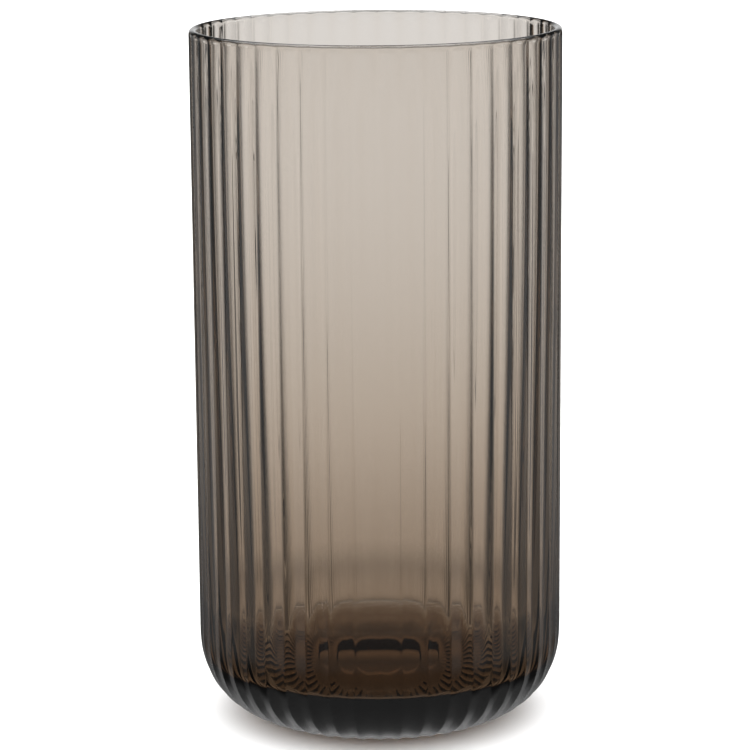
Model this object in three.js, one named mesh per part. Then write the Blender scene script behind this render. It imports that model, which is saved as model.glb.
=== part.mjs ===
// A tall ribbed vase of smoke-tinted glass, in millimetres, +Z up.
//
// The vase is one piece of glass: a straight wall with upright flutes moulded
// into its outside, an inside that follows the ribs softly, a wide rounded
// heel, a thick floor and a fire-polished rim. It stands on a flat foot
// ring around a shallow hollow. The origin is the centre of the foot, on the
// surface it stands on.

import * as THREE from 'three';
import { mergeVertices } from 'three/addons/utils/BufferGeometryUtils.js';

// Overall sizes
const vaseHeight = 250;
const ribRadius = 66; // from the axis to a rib's crest

// Ribs: the crests that are left between neighbouring flutes
const ribCount = 48;
const fluteDepth = 0.59; // below the crests, halfway between them, on the wall
const fluteRoundness = 1.55; // 1 is a flat-sided groove, and more is a rounder one
const insideRipple = 0.34; // the inside's swing out under a crest and in under a flute
const stepsPerRib = 4;

// Rim
const rimWall = 3.1;
const fluteRunOut = 3; // down from the rim's top, the flutes reach their full depth over this
const rimSteps = 6;

// Heel: the rounded turn from the wall to the foot
const heelHeight = 33.5;
const heelReach = 35; // how far in from the crests the foot starts
const heelFullness = 2.4; // 2 is an ellipse, and more is squarer
const heelSteps = 9;
const footFade = 22; // how far out from the foot the flutes reach their full depth

// Foot: a flat ring around a shallow hollow
const footRingWidth = 10;
const puntDepth = 1;
const puntEdge = 3; // the width of the slope around the hollow

// Cavity
const floorThickness = 21.6;
const cavityHeelReach = 4.6; // how far in from the wall the flat floor starts
const cavityHeelHeight = 24.5; // above the floor
const cavityHeelWall = 8.4; // the wall's thickness where the cavity starts to turn in
const cavityHeelFullness = 1.65;
const cavityHeelSteps = 7;
const wallSteps = 5;
const wallThickening = 2.3; // above 1, the wall thickens mostly towards its foot

const footRadius = ribRadius - heelReach;
const puntRadius = footRadius - footRingWidth;
const floorRadius = ribRadius - cavityHeelWall - cavityHeelReach;

// A quarter of a superellipse in the (radius, height) plane. It leaves
// `upright` along the axis and arrives at `level` across it.
function roundedTurn(upright, level, fullness, steps) {
  const points = [];
  for (let step = 0; step <= steps; step += 1) {
    const turn = (step / steps) * (Math.PI / 2);
    const out = Math.cos(turn) ** (2 / fullness);
    const down = Math.sin(turn) ** (2 / fullness);
    const radius = level.x + (upright.x - level.x) * out;
    const height = upright.y + (level.y - upright.y) * down;
    points.push(new THREE.Vector2(radius, height));
  }
  return points;
}

// The rim's half-round top, from the outer wall over to the inner wall.
function rimArc() {
  const rimRadius = rimWall / 2;
  const centre = new THREE.Vector2(ribRadius - rimRadius, vaseHeight - rimRadius);
  const points = [];
  for (let step = 0; step <= rimSteps; step += 1) {
    const turn = (step / rimSteps) * Math.PI;
    const radius = centre.x + rimRadius * Math.cos(turn);
    const height = centre.y + rimRadius * Math.sin(turn);
    points.push(new THREE.Vector2(radius, height));
  }
  return points;
}

// The outside, from the middle of the foot up to the start of the rim's arc.
function outerProfile() {
  const heelTop = new THREE.Vector2(ribRadius, heelHeight);
  const footEdge = new THREE.Vector2(footRadius, 0);
  const heel = roundedTurn(heelTop, footEdge, heelFullness, heelSteps).reverse();
  const wallTop = vaseHeight - rimWall / 2;
  return [
    new THREE.Vector2(0, puntDepth),
    new THREE.Vector2(puntRadius - puntEdge, puntDepth),
    new THREE.Vector2(puntRadius, 0),
    ...heel,
    new THREE.Vector2(ribRadius, vaseHeight - fluteRunOut),
    new THREE.Vector2(ribRadius, (vaseHeight - fluteRunOut + wallTop) / 2),
  ];
}

// The inside, from below the rim's arc down to the middle of the floor. The
// wall thickens as it goes down.
function innerProfile() {
  const wallTop = vaseHeight - rimWall / 2;
  const heelTop = new THREE.Vector2(ribRadius - cavityHeelWall, floorThickness + cavityHeelHeight);
  const floorEdge = new THREE.Vector2(floorRadius, floorThickness);
  const wall = [];
  for (let step = 1; step < wallSteps; step += 1) {
    const down = step / wallSteps;
    const thickness = rimWall + (cavityHeelWall - rimWall) * down ** wallThickening;
    wall.push(new THREE.Vector2(ribRadius - thickness, wallTop + (heelTop.y - wallTop) * down));
  }
  return [
    ...wall,
    ...roundedTurn(heelTop, floorEdge, cavityHeelFullness, cavityHeelSteps),
    new THREE.Vector2(0, floorThickness),
  ];
}

// How strong the ribs are at a point of the profile, as a share of their
// strength on the wall. They run out at the rim's top, and fade between
// `fullRadius` and `stillRadius` as the glass turns in.
function ribShare(point, stillRadius, fullRadius) {
  const belowRim = (vaseHeight - point.y) / fluteRunOut;
  const outFromStill = (point.x - stillRadius) / (fullRadius - stillRadius);
  return Math.max(0, Math.min(1, belowRim)) * Math.max(0, Math.min(1, outFromStill));
}

// A flute dips from one crest to the next: 0 on a crest, 1 halfway.
function fluteShape(column) {
  const acrossRib = (column % stepsPerRib) / stepsPerRib;
  const fromMiddle = Math.abs(2 * acrossRib - 1);
  return 1 - fromMiddle ** fluteRoundness;
}

// The inside's ripple: 1 under a crest, and -1 under the middle of a flute.
function rippleShape(column) {
  return Math.cos((column / stepsPerRib) * 2 * Math.PI);
}

// The direction to the left of the way that a profile runs, in the (radius,
// height) plane, at one of its points.
function leftOf(profile, index) {
  const along = new THREE.Vector2().subVectors(profile[index + 1], profile[index - 1]);
  return new THREE.Vector2(-along.y, along.x).normalize();
}

// The profile runs up the outside and down the inside, so its left is the
// glass on both: flutes cut into it, and the ripple takes it away or adds it.
function ribbedPoint(profile, row, column, flutedRows, insideStart) {
  const point = profile[row].clone();
  if (row > 0 && row < flutedRows) {
    const depth = fluteDepth * ribShare(point, footRadius, footRadius + footFade) * fluteShape(column);
    point.addScaledVector(leftOf(profile, row), depth);
  }
  if (row >= insideStart && row < profile.length - 1) {
    const swing = insideRipple * ribShare(point, floorRadius, ribRadius - rimWall) * rippleShape(column);
    point.addScaledVector(leftOf(profile, row), swing);
  }
  return point;
}

function vaseGeometry() {
  const outside = outerProfile();
  const rim = rimArc();
  const profile = [...outside, ...rim, ...innerProfile()];
  const flutedRows = outside.length + rimSteps / 2;
  const columns = ribCount * stepsPerRib;
  const geometry = new THREE.LatheGeometry(profile, columns);
  const positions = geometry.attributes.position;
  for (let column = 0; column <= columns; column += 1) {
    const angle = (column / columns) * 2 * Math.PI;
    for (let row = 0; row < profile.length; row += 1) {
      const point = ribbedPoint(profile, row, column, flutedRows, outside.length + rim.length);
      const index = column * profile.length + row;
      positions.setXYZ(index, point.x * Math.sin(angle), point.y, point.x * Math.cos(angle));
    }
  }
  geometry.deleteAttribute('normal');
  geometry.deleteAttribute('uv');
  geometry.rotateX(Math.PI / 2); // a lathe turns about Y, and the vase stands along Z
  return mergeVertices(geometry, 1e-4);
}

const smokeGlass = new THREE.MeshStandardMaterial({
  color: 0x8c7d70,
  roughness: 0.03,
  metalness: 0,
  transparent: true,
  opacity: 0.45,
});

const vaseBody = new THREE.Mesh(vaseGeometry(), smokeGlass);
vaseBody.name = 'vase_body';

const vase = new THREE.Group();
vase.add(vaseBody);

export default vase;
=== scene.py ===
import math
import typing

import bpy
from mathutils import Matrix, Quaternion, Vector


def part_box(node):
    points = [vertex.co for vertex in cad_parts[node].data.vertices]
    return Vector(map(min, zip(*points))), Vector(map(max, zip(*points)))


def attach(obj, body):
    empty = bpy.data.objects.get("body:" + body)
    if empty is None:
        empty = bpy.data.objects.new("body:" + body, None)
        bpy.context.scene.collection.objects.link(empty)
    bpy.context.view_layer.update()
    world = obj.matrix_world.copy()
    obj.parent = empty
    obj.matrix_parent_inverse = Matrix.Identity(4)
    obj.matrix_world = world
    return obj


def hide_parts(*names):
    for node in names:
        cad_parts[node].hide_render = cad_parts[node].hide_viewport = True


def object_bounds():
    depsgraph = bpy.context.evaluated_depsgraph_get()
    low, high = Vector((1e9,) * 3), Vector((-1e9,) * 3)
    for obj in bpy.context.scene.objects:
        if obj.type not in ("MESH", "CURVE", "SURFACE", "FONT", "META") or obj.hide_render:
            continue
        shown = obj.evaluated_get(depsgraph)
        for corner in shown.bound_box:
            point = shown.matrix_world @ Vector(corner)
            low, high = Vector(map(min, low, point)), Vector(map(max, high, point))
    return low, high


bl_info = {
    "name": "Ribbed Glass Vase",
    "version": (1, 0, 0),
    "blender": (4, 5, 0),
    "location": "3D View > Sidebar > Ribbed Vase",
    "description": "Spins, flutes and tints a smoke glass vase, and sets it in a plain studio",
    "category": "Add Mesh",
}

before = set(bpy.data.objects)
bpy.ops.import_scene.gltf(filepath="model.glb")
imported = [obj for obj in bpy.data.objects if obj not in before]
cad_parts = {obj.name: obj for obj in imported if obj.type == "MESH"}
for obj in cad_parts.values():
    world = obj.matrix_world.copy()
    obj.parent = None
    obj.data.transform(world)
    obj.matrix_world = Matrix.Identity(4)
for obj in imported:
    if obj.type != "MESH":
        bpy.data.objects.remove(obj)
CAD_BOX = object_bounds()
CAD_LOW, CAD_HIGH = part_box("vase_body")

MM = 0.001
VASE_NAME = "ribbed_vase"

# How finely the surface is drawn
STEPS_PER_RIB = 16
HEEL_STEPS = 40
WALL_STEPS = 4
RUN_OUT_STEPS = 6
RIM_STEPS = 12
CAVITY_WALL_STEPS = 10
CAVITY_HEEL_STEPS = 36
FLOOR_RINGS = 3
PUNT_STEPS = 4
WELD_DISTANCE = 0.01 * MM

FLOOR_SOFTENING = 0.45  # above 0, the ripple is weaker near the floor

# The glass's surface
WAVE_SCALE = 60
WAVE_STRETCH = 0.25  # below 1, the waves are drawn out upright
SEED_SCALE = 90
SEED_SIZE = 0.035
SEED_EDGE = 0.03
SEED_RELIEF = 0.6
RELIEF_DEPTH = 0.05 * MM
RELIEF_STRENGTH = 0.12
ROUGHEST = 0.004
CLOUDIEST = 0.015

MOTTLE_SCALE = 3
MOTTLE_COLOUR = (0.91, 0.91, 0.91)
CAMERA_SHIFT = (-0.004, -0.0024)
SENSOR_WIDTH = 36
LIGHT_BOUNCES = 24


# Sizes and colours

class VaseSizes(bpy.types.PropertyGroup):
    """The vase's sizes."""

    height: bpy.props.FloatProperty(
        name="Height", description="From the foot to the rim's top",
        default=CAD_HIGH.z, unit="LENGTH", precision=4)
    rib_radius: bpy.props.FloatProperty(
        name="Rib radius", description="From the axis to a rib's crest",
        default=CAD_HIGH.x, unit="LENGTH", precision=4)
    rib_count: bpy.props.IntProperty(
        name="Ribs", description="How many ribs go round the vase", default=48, min=3)
    flute_depth: bpy.props.FloatProperty(
        name="Flute depth", description="How far a flute dips below the crests beside it",
        default=0.59 * MM, unit="LENGTH", precision=5)
    flute_roundness: bpy.props.FloatProperty(
        name="Flute roundness", description="1 is a flat-sided groove, and more is a rounder one",
        default=1.55)
    inside_ripple: bpy.props.FloatProperty(
        name="Inside ripple", description="How far the inside swings out under a crest",
        default=0.34 * MM, unit="LENGTH", precision=5)
    ripple_start: bpy.props.FloatProperty(
        name="Ripple start", description="How far below the rim the inside's ripple starts",
        default=4 * MM, unit="LENGTH", precision=4)
    ripple_run_in: bpy.props.FloatProperty(
        name="Ripple run-in", description="The height over which the ripple reaches its full swing",
        default=12 * MM, unit="LENGTH", precision=4)
    floor_fade: bpy.props.FloatProperty(
        name="Floor fade", description="How far out from the flat floor the ripple has faded in",
        default=11 * MM, unit="LENGTH", precision=4)
    rim_wall: bpy.props.FloatProperty(
        name="Rim wall", description="The glass's thickness at the rim",
        default=3.1 * MM, unit="LENGTH", precision=5)
    flute_run_out: bpy.props.FloatProperty(
        name="Flute run-out", description="The height over which a flute reaches its full depth",
        default=3 * MM, unit="LENGTH", precision=5)
    heel_height: bpy.props.FloatProperty(
        name="Heel height", description="Where the wall starts to turn in to the foot",
        default=33.5 * MM, unit="LENGTH", precision=4)
    heel_fullness: bpy.props.FloatProperty(
        name="Heel fullness", description="2 is an ellipse, and more is squarer", default=2.4)
    heel_reach: bpy.props.FloatProperty(
        name="Heel reach", description="How far in from the crests the foot starts",
        default=35 * MM, unit="LENGTH", precision=4)
    foot_fade: bpy.props.FloatProperty(
        name="Foot fade", description="How far out from the foot the flutes have faded in",
        default=7 * MM, unit="LENGTH", precision=4)
    foot_ring_width: bpy.props.FloatProperty(
        name="Foot ring width", description="The flat ring that the vase stands on",
        default=10 * MM, unit="LENGTH", precision=4)
    punt_depth: bpy.props.FloatProperty(
        name="Punt depth", description="The hollow under the foot",
        default=1 * MM, unit="LENGTH", precision=4)
    punt_edge: bpy.props.FloatProperty(
        name="Punt edge", description="The width of the slope around the hollow",
        default=3 * MM, unit="LENGTH", precision=4)
    floor_thickness: bpy.props.FloatProperty(
        name="Floor thickness", description="The glass under the cavity",
        default=21.6 * MM, unit="LENGTH", precision=4)
    cavity_heel_reach: bpy.props.FloatProperty(
        name="Cavity heel reach", description="How far in from the wall the flat floor starts",
        default=4.6 * MM, unit="LENGTH", precision=4)
    cavity_heel_height: bpy.props.FloatProperty(
        name="Cavity heel height", description="How far above its floor the cavity starts to turn in",
        default=24.5 * MM, unit="LENGTH", precision=4)
    cavity_heel_wall: bpy.props.FloatProperty(
        name="Cavity heel wall", description="The wall's thickness where the cavity starts to turn in",
        default=8.4 * MM, unit="LENGTH", precision=5)
    cavity_heel_fullness: bpy.props.FloatProperty(
        name="Cavity heel fullness", description="2 is an ellipse, and more is squarer", default=1.65)
    wall_thickening: bpy.props.FloatProperty(
        name="Wall thickening", description="Above 1, the wall thickens mostly towards its foot",
        default=2.3)

    def foot_radius(self):
        return self.rib_radius - self.heel_reach

    def punt_radius(self):
        return self.foot_radius() - self.foot_ring_width

    def floor_radius(self):
        return self.rib_radius - self.cavity_heel_wall - self.cavity_heel_reach


class GlassLook(bpy.types.PropertyGroup):
    """The tint of the glass."""

    tint: bpy.props.FloatVectorProperty(
        name="Tint", description="What the glass lets through, as an absorption colour",
        subtype="COLOR", size=3, default=(0.50, 0.353, 0.183), min=0, max=1)
    tint_density: bpy.props.FloatProperty(
        name="Tint density", description="How strongly the glass absorbs, per metre", default=131.0)
    ior: bpy.props.FloatProperty(
        name="Index of refraction", description="Soda-lime glass is about 1.52", default=1.525)


class StudioLook(bpy.types.PropertyGroup):
    """The studio round the vase."""

    brightness: bpy.props.FloatProperty(
        name="Brightness", description="Turns all the light that the glass shows up or down", default=1.0)
    floor_light: bpy.props.FloatProperty(
        name="Floor light", description="How brightly the floor is lit", default=2.0)
    floor_colour: bpy.props.FloatVectorProperty(
        name="Floor", description="The pale floor's colour",
        subtype="COLOR", size=3, default=(0.9, 0.9, 0.9), min=0, max=1)
    floor_size: bpy.props.FloatProperty(
        name="Floor size", description="The floor's width", default=10.0, unit="LENGTH")
    camera_distance: bpy.props.FloatProperty(
        name="Camera distance", description="From the camera to the vase's middle",
        default=1.099, unit="LENGTH")
    camera_tilt: bpy.props.FloatProperty(
        name="Camera tilt", description="How far the camera looks down", subtype="ANGLE", default=0.2106)
    turn: bpy.props.FloatProperty(
        name="Turn", description="How far round from a rib's crest the camera and the light stand",
        subtype="ANGLE", default=0.0094)
    camera_roll: bpy.props.FloatProperty(
        name="Camera roll", description="How far the camera leans", subtype="ANGLE", default=-0.0077)
    lens: bpy.props.FloatProperty(
        name="Lens", description="The camera's focal length in millimetres", default=146.1)


# Shader sums

class Wire:
    """A socket in a node tree. Sums on it add the Math nodes that work them out."""

    def __init__(self, tree, socket=None):
        self.tree = tree
        self.socket = socket

    def node(self, kind, settings=None, sockets=None, out=0):
        """Adds a node: its settings first, then its sockets' values or links."""
        made = self.tree.nodes.new(kind)
        for name, value in (settings or {}).items():
            setattr(made, name, value)
        for name, value in (sockets or {}).items():
            if isinstance(value, Wire):
                self.tree.links.new(value.socket, made.inputs[name])
            else:
                made.inputs[name].default_value = value
        return Wire(self.tree, made.outputs[out] if made.outputs else None)

    def math(self, operation, *values):
        return self.node("ShaderNodeMath", {"operation": operation}, dict(enumerate(values)))

    def __add__(self, other):
        return self.math("ADD", self, other)

    def __sub__(self, other):
        return self.math("SUBTRACT", self, other)

    def __mul__(self, other):
        return self.math("MULTIPLY", self, other)

    def __rsub__(self, other):
        return self.math("SUBTRACT", other, self)

    __radd__ = __add__
    __rmul__ = __mul__

    def rise(self, edge, softness):
        """0 below the edge and 1 above it, with a soft change between."""
        return self.node(
            "ShaderNodeMapRange", {"interpolation_type": "SMOOTHSTEP"},
            {0: self, 1: edge - softness / 2, 2: edge + softness / 2})

    def between(self, low, high, softness):
        """1 between the edges and 0 outside them, with soft changes."""
        return self.rise(low, softness) * (1 - self.rise(high, softness))


# Modelling helpers

def clear_selection():
    if bpy.context.object and bpy.context.object.mode != "OBJECT":
        bpy.ops.object.mode_set(mode="OBJECT")
    bpy.ops.object.select_all(action="DESELECT")


def rounded_turn(upright, level, fullness, steps):
    """A quarter of a superellipse. It leaves `upright` along the axis and meets `level` across it."""
    points = []
    for step in range(steps + 1):
        turn = step / steps * math.pi / 2
        out = math.cos(turn) ** (2 / fullness)
        down = math.sin(turn) ** (2 / fullness)
        points.append(Vector((
            level.x + (upright.x - level.x) * out, 0, upright.z + (level.z - upright.z) * down)))
    return points


def point(radius, height):
    return Vector((radius, 0, height))


def smooth(share):
    share = min(max(share, 0), 1)
    return share * share * (3 - 2 * share)


def outside_profile(sizes):
    """From the middle of the foot up to the rim's arc."""
    punt = []
    for step in range(PUNT_STEPS + 1):
        share = step / PUNT_STEPS
        radius = sizes.punt_radius() - sizes.punt_edge * (1 - share)
        punt.append(point(radius, sizes.punt_depth * (1 - smooth(share))))
    heel = rounded_turn(
        point(sizes.rib_radius, sizes.heel_height), point(sizes.foot_radius(), 0),
        sizes.heel_fullness, HEEL_STEPS)
    run_out_foot = sizes.height - sizes.flute_run_out
    round_foot = sizes.height - sizes.rim_wall / 2
    wall = []
    for step in range(1, WALL_STEPS + 1):
        climb = (run_out_foot - sizes.heel_height) * step / WALL_STEPS
        wall.append(point(sizes.rib_radius, sizes.heel_height + climb))
    for step in range(1, RUN_OUT_STEPS):
        climb = (round_foot - run_out_foot) * step / RUN_OUT_STEPS
        wall.append(point(sizes.rib_radius, run_out_foot + climb))
    return [point(0, sizes.punt_depth), *punt, *reversed(heel), *wall]


def rim_profile(sizes):
    """The rim's half-round top."""
    rim_radius = sizes.rim_wall / 2
    points = []
    for step in range(RIM_STEPS + 1):
        turn = step / RIM_STEPS * math.pi
        points.append(point(
            sizes.rib_radius - rim_radius + rim_radius * math.cos(turn),
            sizes.height - rim_radius + rim_radius * math.sin(turn)))
    return points


def inside_profile(sizes):
    """From the rim's arc down to the middle of the cavity's floor."""
    top = sizes.height - sizes.rim_wall / 2
    heel_top = sizes.floor_thickness + sizes.cavity_heel_height
    wall = []
    for step in range(1, CAVITY_WALL_STEPS):
        share = step / CAVITY_WALL_STEPS
        thickness = sizes.rim_wall + (
            sizes.cavity_heel_wall - sizes.rim_wall) * share ** sizes.wall_thickening
        wall.append(point(sizes.rib_radius - thickness, top + (heel_top - top) * share))
    heel = rounded_turn(
        point(sizes.rib_radius - sizes.cavity_heel_wall, heel_top),
        point(sizes.floor_radius(), sizes.floor_thickness),
        sizes.cavity_heel_fullness, CAVITY_HEEL_STEPS)
    floor = []
    for ring in reversed(range(FLOOR_RINGS)):
        floor.append(point(sizes.floor_radius() * ring / FLOOR_RINGS, sizes.floor_thickness))
    return [*wall, *heel, *floor]


def draw_profile(name, points):
    """A chain of edges, drawn by extruding one corner from point to point."""
    clear_selection()
    bpy.ops.mesh.primitive_plane_add(size=MM)
    piece = bpy.context.object
    piece.name = name
    bpy.ops.object.mode_set(mode="EDIT")
    bpy.ops.mesh.select_mode(type="VERT")
    bpy.ops.mesh.select_all(action="SELECT")
    bpy.ops.mesh.merge(type="CENTER")
    bpy.ops.transform.translate(value=points[0])
    for start, end in zip(points, points[1:]):
        bpy.ops.mesh.extrude_region_move(TRANSFORM_OT_translate={"value": end - start})
    bpy.ops.object.mode_set(mode="OBJECT")
    return piece


def spin_profile(piece, steps):
    """Turns the profile round the Z axis, and closes the seam and the poles."""
    bpy.ops.object.mode_set(mode="EDIT")
    bpy.ops.mesh.select_all(action="SELECT")
    bpy.ops.mesh.spin(
        steps=steps, angle=math.tau, dupli=False, use_auto_merge=False, use_normal_flip=False,
        center=(0, 0, 0), axis=(0, 0, 1))
    bpy.ops.mesh.select_all(action="SELECT")
    bpy.ops.mesh.remove_doubles(threshold=WELD_DISTANCE)
    bpy.ops.mesh.select_all(action="SELECT")
    bpy.ops.mesh.normals_make_consistent(inside=False)
    bpy.ops.object.mode_set(mode="OBJECT")


def weigh(piece, name, weight_of):
    """A vertex group with the weight that `weight_of` gives for each vertex's place."""
    group = piece.vertex_groups.new(name=name)
    for vertex in piece.data.vertices:
        weight = weight_of(vertex.co)
        if weight > 0:
            group.add([vertex.index], weight, "REPLACE")
    return group.name


def displace(piece, **settings):
    """Moves the surface along its normals, and applies it."""
    modifier = piece.modifiers.new("Displace", "DISPLACE")
    modifier.direction = "NORMAL"
    for name, value in settings.items():
        setattr(modifier, name, value)
    bpy.ops.object.modifier_apply(modifier=modifier.name)


def check_closed(piece):
    """Raises an error if any edge doesn't have exactly two faces."""
    uses = {}
    for polygon in piece.data.polygons:
        for key in polygon.edge_keys:
            uses[key] = uses.get(key, 0) + 1
    if set(uses.values()) != {2} or len(uses) != len(piece.data.edges):
        raise RuntimeError(f"{piece.name} isn't closed")


class MakeVase(bpy.types.Operator):
    """Spin the vase, press its flutes and ripple its inside"""

    bl_idname = "ribbed_vase.make_vase"
    bl_label = "Make the vase"

    def execute(self, context):
        sizes = context.scene.vase_sizes
        outside = outside_profile(sizes)
        inside = inside_profile(sizes)
        piece = draw_profile(VASE_NAME, [*outside, *rim_profile(sizes), *inside])
        spin_profile(piece, sizes.rib_count * STEPS_PER_RIB)
        check_closed(piece)

        flutes = weigh(piece, "flutes", lambda place: flute_weight(sizes, place))
        swing_out = weigh(piece, "swing out", lambda place: ripple_weight(sizes, place))
        swing_in = weigh(piece, "swing in", lambda place: -ripple_weight(sizes, place))
        displace(piece, vertex_group=flutes, strength=-sizes.flute_depth, mid_level=0)
        displace(piece, vertex_group=swing_out, strength=-sizes.inside_ripple, mid_level=0)
        displace(piece, vertex_group=swing_in, strength=sizes.inside_ripple, mid_level=0)

        bpy.ops.object.shade_smooth()
        piece.data.materials.append(smoke_glass(context.scene.glass_look))
        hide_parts("vase_body")
        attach(piece, "root")
        return {"FINISHED"}


def rib_angle(sizes, place):
    """How far round the ribs a place is, from 0 on one crest to 1 on the next."""
    return math.atan2(place.y, place.x) / math.tau * sizes.rib_count % 1


def on_outside(sizes, place):
    """Whether a place is on the outer surface: nearer to it than the middle of the glass."""
    across = math.hypot(place.x, place.y)
    if place.z > sizes.heel_height:
        return across > sizes.rib_radius - sizes.rim_wall / 2
    drop = 1 - place.z / sizes.heel_height
    reach = max(0, 1 - drop ** sizes.heel_fullness) ** (1 / sizes.heel_fullness)
    edge = sizes.foot_radius() + (sizes.rib_radius - sizes.foot_radius()) * reach
    return across > edge - sizes.rim_wall / 2


def flute_weight(sizes, place):
    """How deep a flute is at a place, from 0 to 1. The flutes get shallower as the heel narrows."""
    if not on_outside(sizes, place):
        return 0
    across = math.hypot(place.x, place.y)
    below_rim = (sizes.height - place.z) / sizes.flute_run_out
    out_of_foot = (across - sizes.foot_radius()) / sizes.foot_fade
    from_middle = abs(2 * rib_angle(sizes, place) - 1)
    shape = 1 - from_middle ** sizes.flute_roundness
    narrowing = math.sqrt(across / sizes.rib_radius)
    return smooth(below_rim) * smooth(out_of_foot) * narrowing * shape


def ripple_weight(sizes, place):
    """The inside's swing: 1 under a crest and -1 under a flute, where it is at full strength."""
    across = math.hypot(place.x, place.y)
    if on_outside(sizes, place) or place.z < sizes.floor_thickness - MM:
        return 0
    below_rim = (sizes.height - sizes.ripple_start - place.z) / sizes.ripple_run_in
    out_of_floor = (across - sizes.floor_radius()) / sizes.floor_fade
    if out_of_floor <= 0:
        return 0
    fade = smooth(below_rim) * smooth(out_of_floor) * out_of_floor ** FLOOR_SOFTENING
    return fade * math.cos(math.tau * rib_angle(sizes, place))


def smoke_glass(look):
    """Clear brown-grey glass, tinted through its thickness, with a fire-polished surface."""
    material = bpy.data.materials.new("smoke glass")
    material.use_nodes = True
    tree = material.node_tree
    tree.nodes.clear()
    wires = Wire(tree)
    place = wires.node("ShaderNodeTexCoord", out="Object")
    drawn_out = wires.node("ShaderNodeMapping", sockets={
        "Vector": place, "Scale": (1, 1, WAVE_STRETCH)})
    waves = wires.node("ShaderNodeTexNoise", sockets={
        "Vector": drawn_out, "Scale": WAVE_SCALE, "Detail": 2})
    seeds = wires.node("ShaderNodeTexVoronoi", sockets={"Vector": place, "Scale": SEED_SCALE})
    bubble = 1 - seeds.rise(SEED_SIZE, SEED_EDGE)
    relief = wires.node("ShaderNodeBump", sockets={
        "Strength": RELIEF_STRENGTH, "Distance": RELIEF_DEPTH, "Height": waves + bubble * SEED_RELIEF})
    clarity = 1 - CLOUDIEST + waves * CLOUDIEST
    tone = wires.node("ShaderNodeCombineColor", sockets={
        "Red": clarity, "Green": clarity, "Blue": clarity})
    glass = wires.node("ShaderNodeBsdfPrincipled", sockets={
        "Base Color": tone, "Roughness": waves * ROUGHEST, "Normal": relief})
    shader = glass.socket.node
    shader.inputs["Transmission Weight"].default_value = 1
    shader.inputs["IOR"].default_value = look.ior
    tint = wires.node("ShaderNodeVolumeAbsorption")
    tint.socket.node.inputs["Color"].default_value = (*look.tint, 1)
    tint.socket.node.inputs["Density"].default_value = look.tint_density
    wires.node("ShaderNodeOutputMaterial", sockets={"Surface": glass, "Volume": tint})
    return material


# Studio

class Panel(typing.NamedTuple):
    """A soft light panel, and its mirror on the other side. Angles are in degrees, seen from the vase."""

    name: str
    level: float
    side: float  # its middle's angle round from straight behind the vase
    half_width: float
    foot: float  # above the horizon, as is its top
    top: float
    softness: float  # over how wide an angle its edges fade


# Dark gaps between the back panel and the side panels draw the vase's edges.
PANELS = (
    Panel("back panel", 0.81, 0, 15, -21, 11, 12),
    Panel("front panel", 0.68, 180, 90, -15, 4, 12),
    Panel("side strips", 2.6, 77, 12, 8, 14, 4),
    Panel("corner panels", 0.35, 45, 12, -16, 6, 8),
    Panel("low side panels", 0.33, 88, 36, -19, -4, 16),
    Panel("high side panels", 3.1, 50, 45, 38, 76, 24),
    Panel("high front panel", 1.6, 180, 85, 43, 77, 12),
    Panel("overhead panel", 2.0, 0, 200, 62, 110, 18),
    Panel("far tabletop", 0.32, 0, 50, -60, -22, 30),
    Panel("near tabletop", 0.24, 0, 200, -110, -38, 8),
)
ROOM_LEVEL = 0.05


def studio_light(look):
    """Soft panels round the vase. The camera and the matt floor see plain white instead."""
    world = bpy.data.worlds.new("studio")
    world.use_nodes = True
    tree = world.node_tree
    tree.nodes.clear()
    wires = Wire(tree)
    direction = wires.node("ShaderNodeTexCoord", out="Generated")
    parts = wires.node("ShaderNodeSeparateXYZ", sockets={0: direction}).socket.node
    east, north, up = (Wire(tree, parts.outputs[name]) for name in "XYZ")
    to_degrees = 180 / math.pi
    side = wires.math("ABSOLUTE", wires.math("ARCTAN2", east, north) + look.turn) * to_degrees
    height = wires.math("ARCSINE", up) * to_degrees

    light = ROOM_LEVEL
    for panel in PANELS:
        across = side.between(
            panel.side - panel.half_width, panel.side + panel.half_width, panel.softness)
        light = light + across * height.between(panel.foot, panel.top, panel.softness) * panel.level

    ray = wires.node("ShaderNodeLightPath").socket.node
    is_camera = Wire(tree, ray.outputs["Is Camera Ray"])
    is_diffuse = Wire(tree, ray.outputs["Is Diffuse Ray"])
    level = is_camera + is_diffuse * look.floor_light + (
        1 - is_camera - is_diffuse) * light * look.brightness
    glow = wires.node("ShaderNodeBackground", sockets={"Color": (1, 1, 1, 1), "Strength": level})
    wires.node("ShaderNodeOutputWorld", sockets={"Surface": glow})
    return world


def pale_floor(look):
    """Matt white board with the slightest mottle."""
    material = bpy.data.materials.new("pale floor")
    material.use_nodes = True
    tree = material.node_tree
    tree.nodes.clear()
    wires = Wire(tree)
    place = wires.node("ShaderNodeTexCoord", out="Object")
    mottle = wires.node("ShaderNodeTexNoise", sockets={
        "Vector": place, "Scale": MOTTLE_SCALE, "Detail": 3})
    colour = wires.node(
        "ShaderNodeMix", {"data_type": "RGBA"},
        {0: mottle, 6: (*look.floor_colour, 1), 7: (*MOTTLE_COLOUR, 1)}, out=2)
    board = wires.node("ShaderNodeBsdfDiffuse", sockets={"Color": colour})
    wires.node("ShaderNodeOutputMaterial", sockets={"Surface": board})
    return material


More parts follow.
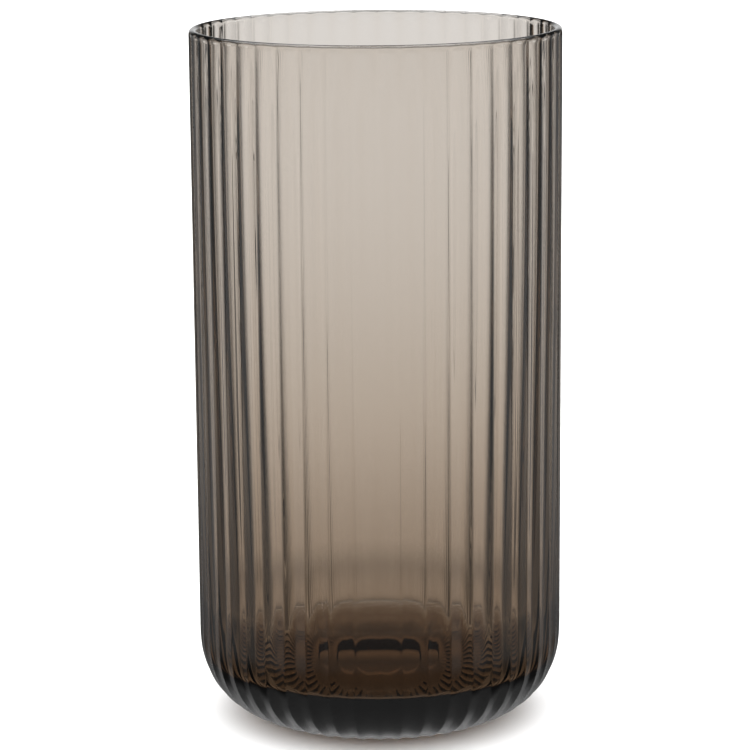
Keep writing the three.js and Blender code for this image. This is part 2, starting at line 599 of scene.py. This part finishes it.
class MakeStudio(bpy.types.Operator):
    """Lay the floor, hang the light panels and place the camera"""

    bl_idname = "ribbed_vase.make_studio"
    bl_label = "Make the studio"

    def execute(self, context):
        look = context.scene.studio_look
        scene = context.scene
        clear_selection()
        bpy.ops.mesh.primitive_plane_add(size=look.floor_size)
        floor = context.object
        floor.name = "studio_floor"
        floor.data.materials.append(pale_floor(look))
        floor.visible_transmission = False
        floor.visible_glossy = False

        scene.world = studio_light(look)

        low, high = CAD_BOX
        middle = (low + high) / 2
        ahead = math.cos(look.camera_tilt)
        forward = Vector((
            -math.sin(look.turn) * ahead, math.cos(look.turn) * ahead, -math.sin(look.camera_tilt)))
        turn = forward.to_track_quat("-Z", "Y") @ Quaternion((0, 0, 1), look.camera_roll)
        bpy.ops.object.camera_add(
            location=middle - forward * look.camera_distance, rotation=turn.to_euler())
        camera = context.object
        camera.name = "studio_camera"
        camera.data.sensor_width = SENSOR_WIDTH
        camera.data.lens = look.lens
        camera.data.shift_x, camera.data.shift_y = CAMERA_SHIFT
        scene.camera = camera

        scene.view_settings.view_transform = "Standard"
        scene.cycles.max_bounces = LIGHT_BOUNCES
        scene.cycles.transmission_bounces = LIGHT_BOUNCES
        return {"FINISHED"}


class VasePanel(bpy.types.Panel):
    """The vase's sizes, tint and studio"""

    bl_idname = "VIEW3D_PT_ribbed_vase"
    bl_label = "Ribbed Vase"
    bl_space_type = "VIEW_3D"
    bl_region_type = "UI"
    bl_category = "Ribbed Vase"

    def draw(self, context):
        layout = self.layout
        for operator in (MakeVase, MakeStudio):
            layout.operator(operator.bl_idname)
        for group in (context.scene.vase_sizes, context.scene.glass_look, context.scene.studio_look):
            column = layout.column()
            for name in group.bl_rna.properties.keys():
                if name not in ("rna_type", "name"):
                    column.prop(group, name)


CLASSES = (VaseSizes, GlassLook, StudioLook, MakeVase, MakeStudio, VasePanel)


def register():
    for made in CLASSES:
        bpy.utils.register_class(made)
    bpy.types.Scene.vase_sizes = bpy.props.PointerProperty(type=VaseSizes)
    bpy.types.Scene.glass_look = bpy.props.PointerProperty(type=GlassLook)
    bpy.types.Scene.studio_look = bpy.props.PointerProperty(type=StudioLook)


def unregister():
    del bpy.types.Scene.studio_look
    del bpy.types.Scene.glass_look
    del bpy.types.Scene.vase_sizes
    for made in reversed(CLASSES):
        bpy.utils.unregister_class(made)


def main():
    register()
    bpy.ops.ribbed_vase.make_vase()
    bpy.ops.ribbed_vase.make_studio()


if __name__ == "__main__":
    main()
